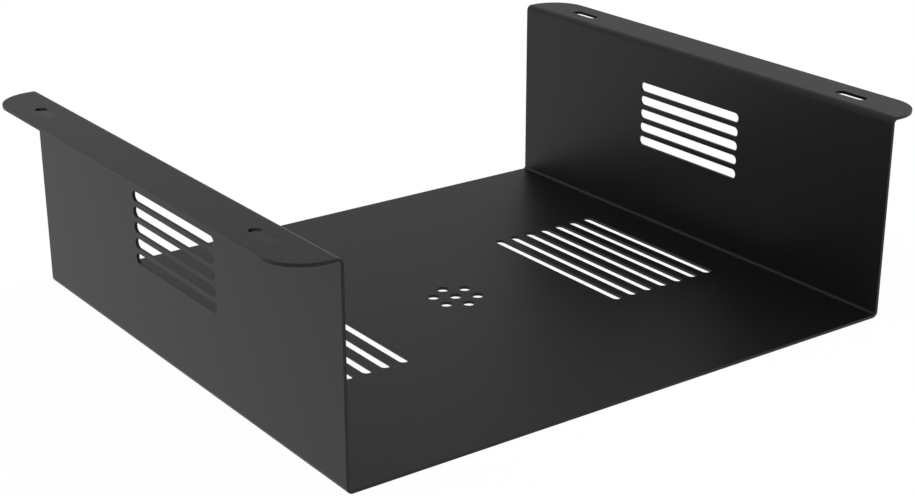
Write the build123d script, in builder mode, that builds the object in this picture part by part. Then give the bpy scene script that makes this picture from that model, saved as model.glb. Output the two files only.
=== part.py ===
"""A holder that hangs a small computer under a desk: one folded steel sheet and the four screws it is fitted with.

Millimetres. +X runs across the holder, +Y to its back and +Z up. The origin is under the middle of the tray.
"""

import os
from math import atan2, cos, degrees, radians, sin

from build123d import *

# The sheet
SHEET = 1.5
BEND_INSIDE = 1.5
BAY_WIDTH = 300.0  # between the walls' inside faces
DEPTH = 275.0
HEIGHT = 100.0  # from under the tray to the flanges' top faces
FLANGE = 25.0  # from a wall's inside face to the flange's free edge
FLANGE_CORNER = 19.0
CUT_EDGE = 0.1  # the coating rounds off every cut edge this much

# The vents are all slots with full round ends
VENT_WIDTH = 5.0
TRAY_VENTS = 7
TRAY_VENT_LENGTH = 100.0
TRAY_VENT_PITCH = 10.0
TRAY_VENTS_FROM_MIDDLE = 93.5  # the middle of each group of tray vents
WALL_VENTS = 5
WALL_VENT_LENGTH = 75.0
WALL_VENT_PITCH = 7.5
WALL_VENTS_UP = 60.0  # the middle vent of a wall
ROSETTE_HOLE = 6.0  # round holes, one in the middle of a ring of six
ROSETTE_RING = 22.0

# The slots in the flanges that the screws go up through
SLOT_WIDTH = 5.4
SLOT_LENGTH = 18.4
SLOTS_ALONG = 200.0  # centre to centre, front to back
SLOTS_ACROSS = BAY_WIDTH + FLANGE  # centre to centre, from flange to flange

# The wood screws
SCREW_LENGTH = 16.0  # under the head
SCREW_RADIUS = 2.25  # outside the thread
SCREW_POINT = 4.5  # length of the tapered point
SCREW_HEAD_RADIUS = 5.5
SCREW_HEAD_RIM = 0.5
SCREW_HEAD_HEIGHT = 2.7
RECESS_WIDTH = 1.2
RECESS_SPAN = 5.2
RECESS_DEPTH = 1.9
RECESS_TAPER = 12.0  # degrees that its walls lean in
SCREW_CLEARANCE = 0.2  # kept between a loose screw and the tray
# The four screws lie loose in the back left of the tray: where each head is, and the way its point aims in degrees
SCREWS = [(-139.0, 62.0, 4.0), (-137.0, 76.5, -7.0), (-139.5, 90.0, 9.0), (-137.5, 105.0, -3.0)]

os.makedirs("parts", exist_ok=True)


def finished(part, label):
    """Names a piece and writes it."""
    part.label = label
    export_step(part, f"parts/{label}.step")


# The folded tray: a tray between two walls, each with a flange turned outwards along its top
middle = SHEET / 2  # of the sheet's thickness, from either face
wall_x = BAY_WIDTH / 2 + middle
edge_x = BAY_WIDTH / 2 + FLANGE
fold = [
    (-edge_x, HEIGHT - middle),
    (-wall_x, HEIGHT - middle),
    (-wall_x, middle),
    (wall_x, middle),
    (wall_x, HEIGHT - middle),
    (edge_x, HEIGHT - middle),
]
with BuildPart() as folded_tray:
    with BuildSketch(Plane.XZ):
        with BuildLine():
            FilletPolyline(*fold, radius=BEND_INSIDE + middle)
        trace(line_width=SHEET)
    extrude(amount=DEPTH / 2, both=True)

    flange_corners = folded_tray.edges().filter_by(Axis.Z).group_by(SortBy.LENGTH)[0]
    fillet(flange_corners, FLANGE_CORNER)

    with BuildSketch(Plane.XY):
        with GridLocations(2 * TRAY_VENTS_FROM_MIDDLE, 0, 2, 1):
            with GridLocations(TRAY_VENT_PITCH, 0, TRAY_VENTS, 1):
                SlotOverall(TRAY_VENT_LENGTH, VENT_WIDTH, rotation=90)
        Circle(ROSETTE_HOLE / 2)
        with PolarLocations(ROSETTE_RING / 2, 6, start_angle=30):
            Circle(ROSETTE_HOLE / 2)
    extrude(amount=SHEET, mode=Mode.SUBTRACT)

    with BuildSketch(Plane.YZ):
        with Locations((0, WALL_VENTS_UP)):
            with GridLocations(0, WALL_VENT_PITCH, 1, WALL_VENTS):
                SlotOverall(WALL_VENT_LENGTH, VENT_WIDTH)
    extrude(amount=edge_x, both=True, mode=Mode.SUBTRACT)

    with BuildSketch(Plane.XY.offset(HEIGHT - SHEET)):
        with GridLocations(SLOTS_ACROSS, SLOTS_ALONG, 2, 2):
            SlotOverall(SLOT_LENGTH, SLOT_WIDTH, rotation=90)
    extrude(amount=SHEET, mode=Mode.SUBTRACT)

    # Round the edges of every cut. The short lines through the thickness and the long ones where a bend starts stay
    edges = folded_tray.edges()
    smooth = edges.filter_by(lambda edge: abs(edge.length - SHEET) < 0.01 or abs(edge.length - DEPTH) < 0.01)
    fillet(edges - smooth, CUT_EDGE)
finished(folded_tray.part, "folded_tray")


# The screws: each lies on the rim of its head and the end of its full thread
thread_end = SCREW_LENGTH - SCREW_POINT
nose_down = atan2(SCREW_HEAD_RADIUS - SCREW_RADIUS, thread_end)
for number, (head_x, head_y, aim) in enumerate(SCREWS, start=1):
    along = Vector(cos(radians(aim)) * cos(nose_down), sin(radians(aim)) * cos(nose_down), -sin(nose_down))
    aside = Vector(-sin(radians(aim)), cos(radians(aim)), 0)
    under_head = Vector(head_x, head_y, SHEET + SCREW_CLEARANCE + SCREW_HEAD_RADIUS * cos(nose_down))
    # x runs from the head to the point, and y from the axis outwards
    half = Plane(origin=under_head, x_dir=along, z_dir=aside)
    top = Plane(origin=under_head - along * SCREW_HEAD_HEIGHT, x_dir=aside, z_dir=along)
    with BuildPart() as screw:
        with BuildSketch(half):
            with BuildLine():
                dome = ThreePointArc(
                    (-SCREW_HEAD_HEIGHT, 0),
                    (-SCREW_HEAD_HEIGHT * 0.82, SCREW_HEAD_RADIUS * 0.56),
                    (-SCREW_HEAD_RIM, SCREW_HEAD_RADIUS),
                )
                Polyline(
                    dome @ 1,
                    (0, SCREW_HEAD_RADIUS),
                    (0, SCREW_RADIUS),
                    (thread_end, SCREW_RADIUS),
                    (SCREW_LENGTH, 0),
                    dome @ 0,
                )
            make_face()
        revolve(axis=Axis(under_head, along))
        with BuildSketch(top):
            Rectangle(RECESS_SPAN, RECESS_WIDTH)
            Rectangle(RECESS_WIDTH, RECESS_SPAN)
        extrude(amount=RECESS_DEPTH, taper=RECESS_TAPER, mode=Mode.SUBTRACT)
    finished(screw.part, f"mounting_screw_{number}")
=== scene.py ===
"""A powder-coated steel holder for a small computer, with its four wood screws, on a pale studio floor.

Metres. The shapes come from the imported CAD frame, and the threaded screws are built here.
"""

import math

import bmesh
import bpy
from mathutils import Matrix, Vector


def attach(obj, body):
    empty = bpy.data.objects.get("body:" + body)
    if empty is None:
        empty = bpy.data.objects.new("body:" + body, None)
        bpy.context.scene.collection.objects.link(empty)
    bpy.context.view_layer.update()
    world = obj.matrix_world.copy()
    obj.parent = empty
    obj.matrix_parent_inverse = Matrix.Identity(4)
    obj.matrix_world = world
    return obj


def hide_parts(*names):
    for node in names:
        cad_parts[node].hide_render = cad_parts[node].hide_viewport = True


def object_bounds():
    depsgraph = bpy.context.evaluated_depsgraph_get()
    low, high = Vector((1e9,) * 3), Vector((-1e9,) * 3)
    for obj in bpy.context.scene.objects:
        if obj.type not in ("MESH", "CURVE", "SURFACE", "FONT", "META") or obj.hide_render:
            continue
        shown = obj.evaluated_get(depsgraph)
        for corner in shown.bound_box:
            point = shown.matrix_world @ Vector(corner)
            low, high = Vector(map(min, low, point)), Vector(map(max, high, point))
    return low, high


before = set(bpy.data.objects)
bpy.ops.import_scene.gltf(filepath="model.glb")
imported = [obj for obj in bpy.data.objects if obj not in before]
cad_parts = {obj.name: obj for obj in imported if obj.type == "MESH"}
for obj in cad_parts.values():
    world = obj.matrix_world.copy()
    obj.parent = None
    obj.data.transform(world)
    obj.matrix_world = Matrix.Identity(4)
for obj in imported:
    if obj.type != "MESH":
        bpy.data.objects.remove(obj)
cad_low, cad_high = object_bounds()
scene = bpy.context.scene
scene.view_settings.view_transform = "Standard"

# The camera
AZIMUTH = math.radians(-35.99)
ELEVATION = math.radians(21.92)
DISTANCE = 0.892
AIM = Vector((0.0044, 0.0, 0.0106))
LENS_MM = 71.2
SHIFT = (-0.00585, 0.0318)

# The studio
SKY = 0.38
HORIZON_GLOW = 0.55
HORIZON_TOP = 0.3  # where the glow has faded, as the sine of the height above the horizon
LIGHT_CORE = 20  # degrees from its middle in which a soft light has its full strength
SOFT_LIGHTS = [  # where each one is, how many degrees from there it has faded, and its strength
    ((1, 0, 0.4), 50, 0.4),
    ((-0.7, 0.7, 0.5), 50, 0.25),
    ((0, 1, 1.2), 45, 0.4),
]
FLOOR_SIZE = 12.0
FLOOR_GAP = 0.0002
FLOOR_GLOW = 0.97
FLOOR_SHADE = 0.05

# The screws, as in the CAD model
SHEET = 0.0015
CLEARANCE = 0.0002
SCREWS = [  # x and y of each head, and the way its point aims in degrees
    (-0.139, 0.062, 4),
    (-0.137, 0.0765, -7),
    (-0.1395, 0.09, 9),
    (-0.1375, 0.105, -3),
]
LENGTH = 0.016  # under the head
POINT = 0.0045  # length of the tapered point
CREST = 0.00225
ROOT = 0.0015
PITCH = 0.0018
FLANK = 0.3  # width of each side of the thread, as a share of the pitch
NECK = 0.0012  # plain shank under the head
HEAD_RADIUS = 0.0055
HEAD_RIM = 0.0005
HEAD_HEIGHT = 0.0027
HEAD_EDGE = 0.0001  # rounding under the head's rim
DOME_FALL = 2.6  # power by which the head falls away from its middle
DOME_SHARES = (0.08, 0.2, 0.34, 0.48, 0.6, 0.72, 0.82, 0.9, 0.96, 1)  # of the head's radius
RECESS_ARM = 0.0026
RECESS_HALF = 0.0006
RECESS_DEPTH = 0.0019
RECESS_TAPER = math.radians(12)
CUT_ABOVE = 0.0003  # how far the recess's cutter stands out of the head
SIDES = 48
THREAD_STEP = 0.00015
SHARP_ANGLE = math.radians(40)


# Materials


def new_material(name):
    """A material with an empty node tree, and its output."""
    material = bpy.data.materials.new(name)
    material.use_nodes = True
    material.node_tree.nodes.clear()
    out = material.node_tree.nodes.new("ShaderNodeOutputMaterial")
    return material, material.node_tree, out


def add(tree, kind, **settings):
    """A new node: settings name its properties, or its inputs where it has no such property."""
    node = tree.nodes.new(kind)
    for name, value in settings.items():
        if hasattr(node, name):
            setattr(node, name, value)
        else:
            node.inputs[name.replace("_", " ").title()].default_value = value
    return node


def powder_coat():
    """Satin black powder coat: nearly smooth, with a fine grain."""
    material, tree, out = new_material("black_powder_coat")
    link = tree.links.new
    place = add(tree, "ShaderNodeTexCoord")
    shader = add(tree, "ShaderNodeBsdfPrincipled")
    shader.inputs["Base Color"].default_value = (0.008, 0.008, 0.008, 1)
    shader.inputs["Roughness"].default_value = 0.42
    shader.inputs["Specular IOR Level"].default_value = 0.235
    grain = add(tree, "ShaderNodeTexNoise", scale=1800.0, detail=3.0, roughness=0.6)
    link(place.outputs["Object"], grain.inputs["Vector"])
    bump = add(tree, "ShaderNodeBump", strength=0.35, distance=0.0001)
    link(grain.outputs["Fac"], bump.inputs["Height"])
    link(bump.outputs["Normal"], shader.inputs["Normal"])
    link(shader.outputs["BSDF"], out.inputs["Surface"])
    return material


def black_zinc():
    """Black zinc plate on the screws: a dark metal with a soft gloss."""
    material, tree, out = new_material("black_zinc")
    link = tree.links.new
    shader = add(tree, "ShaderNodeBsdfPrincipled")
    shader.inputs["Base Color"].default_value = (0.13, 0.13, 0.135, 1)
    shader.inputs["Metallic"].default_value = 1.0
    shader.inputs["Roughness"].default_value = 0.32
    link(shader.outputs["BSDF"], out.inputs["Surface"])
    return material


def floor_material():
    """Pale floor that glows almost to white, so that a shadow on it stays faint."""
    material, tree, out = new_material("floor")
    link = tree.links.new
    glow = add(tree, "ShaderNodeEmission", strength=FLOOR_GLOW)
    shade = add(tree, "ShaderNodeBsdfDiffuse")
    shade.inputs["Color"].default_value = (FLOOR_SHADE, FLOOR_SHADE, FLOOR_SHADE, 1)
    both = add(tree, "ShaderNodeAddShader")
    link(glow.outputs["Emission"], both.inputs[0])
    link(shade.outputs["BSDF"], both.inputs[1])
    link(both.outputs["Shader"], out.inputs["Surface"])
    return material


# The camera and the studio

camera_data = bpy.data.cameras.new("camera")
camera_data.lens = LENS_MM
camera_data.shift_x, camera_data.shift_y = SHIFT
camera_data.clip_end = 50
camera = bpy.data.objects.new("camera", camera_data)
scene.collection.objects.link(camera)
towards = Vector(
    (math.sin(AZIMUTH) * math.cos(ELEVATION), -math.cos(AZIMUTH) * math.cos(ELEVATION), math.sin(ELEVATION))
)
camera.location = AIM + towards * DISTANCE
camera.rotation_euler = (math.pi / 2 - ELEVATION, 0, AZIMUTH)
scene.camera = camera

world = bpy.data.worlds.new("studio")
world.use_nodes = True
sky = world.node_tree
sky.nodes["Background"].inputs["Color"].default_value = (1, 1, 1, 1)
direction = add(sky, "ShaderNodeTexCoord").outputs["Generated"]
light = add(sky, "ShaderNodeValue").outputs["Value"]
light.default_value = SKY
glows = [((0, 0, 1), HORIZON_GLOW, 0.0, HORIZON_TOP)]
for place, reach, strength in SOFT_LIGHTS:
    core, end = math.cos(math.radians(LIGHT_CORE)), math.cos(math.radians(reach))
    glows.append((Vector(place).normalized(), strength, core, end))
for middle, strength, core, end in glows:
    along = add(sky, "ShaderNodeVectorMath", operation="DOT_PRODUCT")
    along.inputs[1].default_value = middle
    sky.links.new(direction, along.inputs[0])
    fade = add(sky, "ShaderNodeMapRange", interpolation_type="SMOOTHSTEP")
    fade.inputs["From Min"].default_value = end
    fade.inputs["From Max"].default_value = core
    fade.inputs["To Max"].default_value = strength
    sky.links.new(along.outputs["Value"], fade.inputs["Value"])
    total = add(sky, "ShaderNodeMath", operation="ADD")
    sky.links.new(light, total.inputs[0])
    sky.links.new(fade.outputs["Result"], total.inputs[1])
    light = total.outputs["Value"]
sky.links.new(light, sky.nodes["Background"].inputs["Strength"])
scene.world = world

bpy.ops.mesh.primitive_plane_add(size=FLOOR_SIZE, location=(0, 0, cad_low.z - FLOOR_GAP))
floor = bpy.context.object
floor.name = "floor"
floor.data.materials.append(floor_material())

# Shapes


def thread_radius(x, turn):
    """Radius of the threaded shank at x from under the head, at a turn of 0 to 1 about its axis."""
    phase = (x / PITCH - turn) % 1
    crest = max(0, 1 - abs(phase - 0.5) / FLANK) * min(1, max(0, (x - NECK) / PITCH))
    return min(1, (LENGTH - x) / POINT) * (ROOT + (CREST - ROOT) * crest)


def closed_mesh(name, rings, first_tip, last_tip):
    """A closed mesh through rings of points, with a fan to a tip at each end."""
    shape = bmesh.new()
    loops = [[shape.verts.new(point) for point in ring] for ring in rings]
    for ring, following in zip(loops, loops[1:]):
        for i in range(len(ring)):
            shape.faces.new((ring[i - 1], ring[i], following[i], following[i - 1]))
    for ring, tip in ((loops[0], first_tip), (loops[-1], last_tip)):
        end = shape.verts.new(tip)
        for i in range(len(ring)):
            shape.faces.new((ring[i - 1], ring[i], end))
    bmesh.ops.recalc_face_normals(shape, faces=shape.faces)
    mesh = bpy.data.meshes.new(name)
    shape.to_mesh(mesh)
    shape.free()
    return mesh


def round_ring(x, radius_at):
    """Points of one ring about the x axis, where radius_at gives the radius at each turn."""
    ring = []
    for turn in [i / SIDES for i in range(SIDES)]:
        radius = radius_at(turn)
        ring.append((x, radius * math.cos(math.tau * turn), radius * math.sin(math.tau * turn)))
    return ring


def cross_ring(x, inset):
    """The twelve corners of the cross recess at x, each side moved in by inset."""
    arm, half = RECESS_ARM - inset, RECESS_HALF - inset
    quarter = [(half, half), (half, arm), (-half, arm)]
    ring = []
    for _ in range(4):
        ring += [(x, y, z) for y, z in quarter]
        quarter = [(-z, y) for y, z in quarter]
    return ring


def screw_mesh():
    """A truss-head wood screw along x: the underside of its head is at 0 and its point at LENGTH."""
    head = [
        (-HEAD_RIM - (HEAD_HEIGHT - HEAD_RIM) * (1 - share**DOME_FALL), HEAD_RADIUS * share)
        for share in DOME_SHARES
    ]
    head += [(-HEAD_EDGE, HEAD_RADIUS), (0, HEAD_RADIUS - HEAD_EDGE)]
    rings = [round_ring(x, lambda turn, radius=radius: radius) for x, radius in head]
    for x in [i * THREAD_STEP for i in range(round(LENGTH / THREAD_STEP))]:
        rings.append(round_ring(x, lambda turn, x=x: thread_radius(x, turn)))
    body = bpy.data.objects.new("screw", closed_mesh("screw", rings, (-HEAD_HEIGHT, 0, 0), (LENGTH, 0, 0)))
    cross = [
        cross_ring(-HEAD_HEIGHT - CUT_ABOVE, -CUT_ABOVE * math.tan(RECESS_TAPER)),
        cross_ring(-HEAD_HEIGHT + RECESS_DEPTH, RECESS_DEPTH * math.tan(RECESS_TAPER)),
    ]
    tips = [(ring[0][0], 0, 0) for ring in cross]
    cutter = bpy.data.objects.new("recess", closed_mesh("recess", cross, *tips))
    for item in (body, cutter):
        scene.collection.objects.link(item)
    cut = body.modifiers.new("recess", "BOOLEAN")
    cut.operation = "DIFFERENCE"
    cut.object = cutter
    mesh = bpy.data.meshes.new_from_object(body.evaluated_get(bpy.context.evaluated_depsgraph_get()))
    for item in (body, cutter):
        bpy.data.objects.remove(item)
    mesh.shade_smooth()
    mesh.set_sharp_from_angle(angle=SHARP_ANGLE)
    return mesh


# The holder
coat = powder_coat()
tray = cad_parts["folded_tray"]
for place in tray.material_slots:
    place.material = coat

# The screws: each lies on the rim of its head and the end of its full thread
screw = screw_mesh()
screw.materials.append(black_zinc())
nose_down = math.atan2(HEAD_RADIUS - CREST, LENGTH - POINT)
height = SHEET + CLEARANCE + HEAD_RADIUS * math.cos(nose_down)
for number, (head_x, head_y, aim) in enumerate(SCREWS, start=1):
    mesh = screw.copy()
    mesh.transform(
        Matrix.Translation((head_x, head_y, height))
        @ Matrix.Rotation(math.radians(aim), 4, "Z")
        @ Matrix.Rotation(nose_down, 4, "Y")
    )
    piece = bpy.data.objects.new(f"threaded_screw_{number}", mesh)
    scene.collection.objects.link(piece)
    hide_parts(f"mounting_screw_{number}")
    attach(piece, f"screw_{number}")
